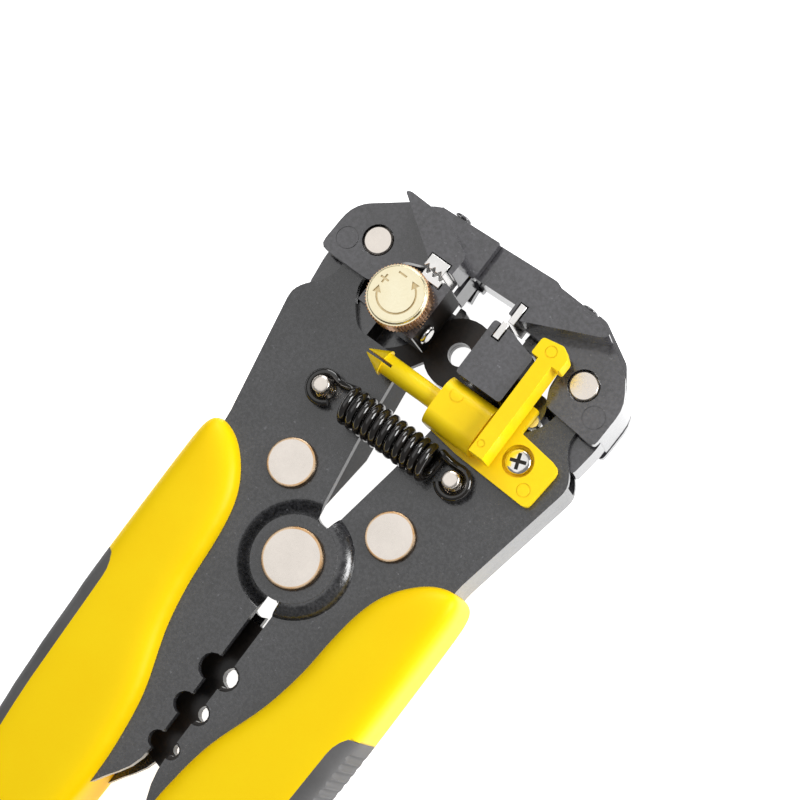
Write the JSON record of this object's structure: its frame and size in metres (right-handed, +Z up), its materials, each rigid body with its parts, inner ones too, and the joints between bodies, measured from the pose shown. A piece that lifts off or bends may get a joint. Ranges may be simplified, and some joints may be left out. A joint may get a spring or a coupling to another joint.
{
  "type": "wire stripper",
  "caption": "Self-adjusting wire stripper with spring-loaded gripping and stripping jaws, tension knob, length stop, cutter eye and moulded grips.",
  "frame": {"origin": "on the main pivot's axis, on the flat face of the pivot rivet's back head, which the tool rests on", "axes": "+X to the right across the tool seen from its front, +Y towards the jaws, +Z up from the back to the front face"},
  "size_m": [0.079, 0.2047, 0.0357],
  "materials": {
    "black_steel": "satin black paint with a fine orange peel",
    "bright_steel": "bright plated steel, faintly warm",
    "spring_steel": "glossy blackened spring wire",
    "brass": "pale turned brass",
    "yellow_grip": "satin moulded grip plastic",
    "yellow_plastic": "semi-gloss moulded plastic",
    "dark_rubber": "matt ribbed soft insert"
  },
  "bodies": {
    "left_half": {"left_frame": "black_steel", "left_grip": "yellow_grip", "left_grip_insert": "dark_rubber", "left_plate_rivet": "bright_steel", "left_spring_pin": "bright_steel", "left_jaw_pin": "bright_steel", "left_lower_jaw": "black_steel", "lower_grip_blade": "bright_steel", "tension_screw": "bright_steel", "jaw_set_screw": "bright_steel", "left_cutter_plate": "black_steel", "left_crimp_die": "black_steel", "return_spring": "spring_steel", "back_pivot_spacer": "bright_steel"},
    "right_half": {"right_frame": "black_steel", "right_grip": "yellow_grip", "right_grip_insert": "dark_rubber", "right_plate_rivet": "bright_steel", "right_spring_pin": "bright_steel", "right_jaw_pin": "bright_steel", "right_lower_jaw": "black_steel", "lower_strip_blade": "bright_steel", "stop_bracket": "yellow_plastic", "stop_screw": "bright_steel", "stop_stud": "brass", "right_cutter_plate": "black_steel", "right_crimp_die": "black_steel", "pivot_rivet": "bright_steel", "front_pivot_spacer": "bright_steel"},
    "left_upper_jaw": {"left_upper_jaw": "black_steel", "upper_grip_blade": "bright_steel", "left_jaw_screw": "black_steel"},
    "right_upper_jaw": {"right_upper_jaw": "black_steel", "upper_strip_blade": "bright_steel", "right_jaw_screw": "black_steel"},
    "stop_slider": {"stop_slider": "yellow_plastic"},
    "tension_knob": {"tension_knob": "brass"}
  },
  "joints": [
    {"name": "handle_pivot", "type": "hinge", "parent": "left_half", "child": "right_half", "pos_m": [0, 0, 0], "axis": [0, 0, 1], "range_deg": [0, 9.5], "stiffness_Nm_per_rad": 0.8, "springref_deg": 14.32, "deforming": ["return_spring"]},
    {"name": "left_jaw_pivot", "type": "hinge", "parent": "left_half", "child": "left_upper_jaw", "pos_m": [-0.0292, 0.0688, 0], "axis": [0, 0, 1], "range_deg": [0, 19]},
    {"name": "right_jaw_pivot", "type": "hinge", "parent": "right_half", "child": "right_upper_jaw", "pos_m": [0.0292, 0.0688, 0], "axis": [0, 0, 1], "range_deg": [-19, 0]},
    {"name": "stop_slide", "type": "slide", "parent": "right_half", "child": "stop_slider", "axis": [1, 0, 0], "range_m": [0, 0.012]},
    {"name": "knob_turn", "type": "hinge", "parent": "left_half", "child": "tension_knob", "pos_m": [-0.0133, 0.0598, 0], "axis": [0, 0, 1], "range_deg": [-150, 150]}
  ],
  "couplings": [
    {"joint": "left_jaw_pivot", "follows": "handle_pivot", "ratio": 2},
    {"joint": "right_jaw_pivot", "follows": "handle_pivot", "ratio": -2}
  ]
}
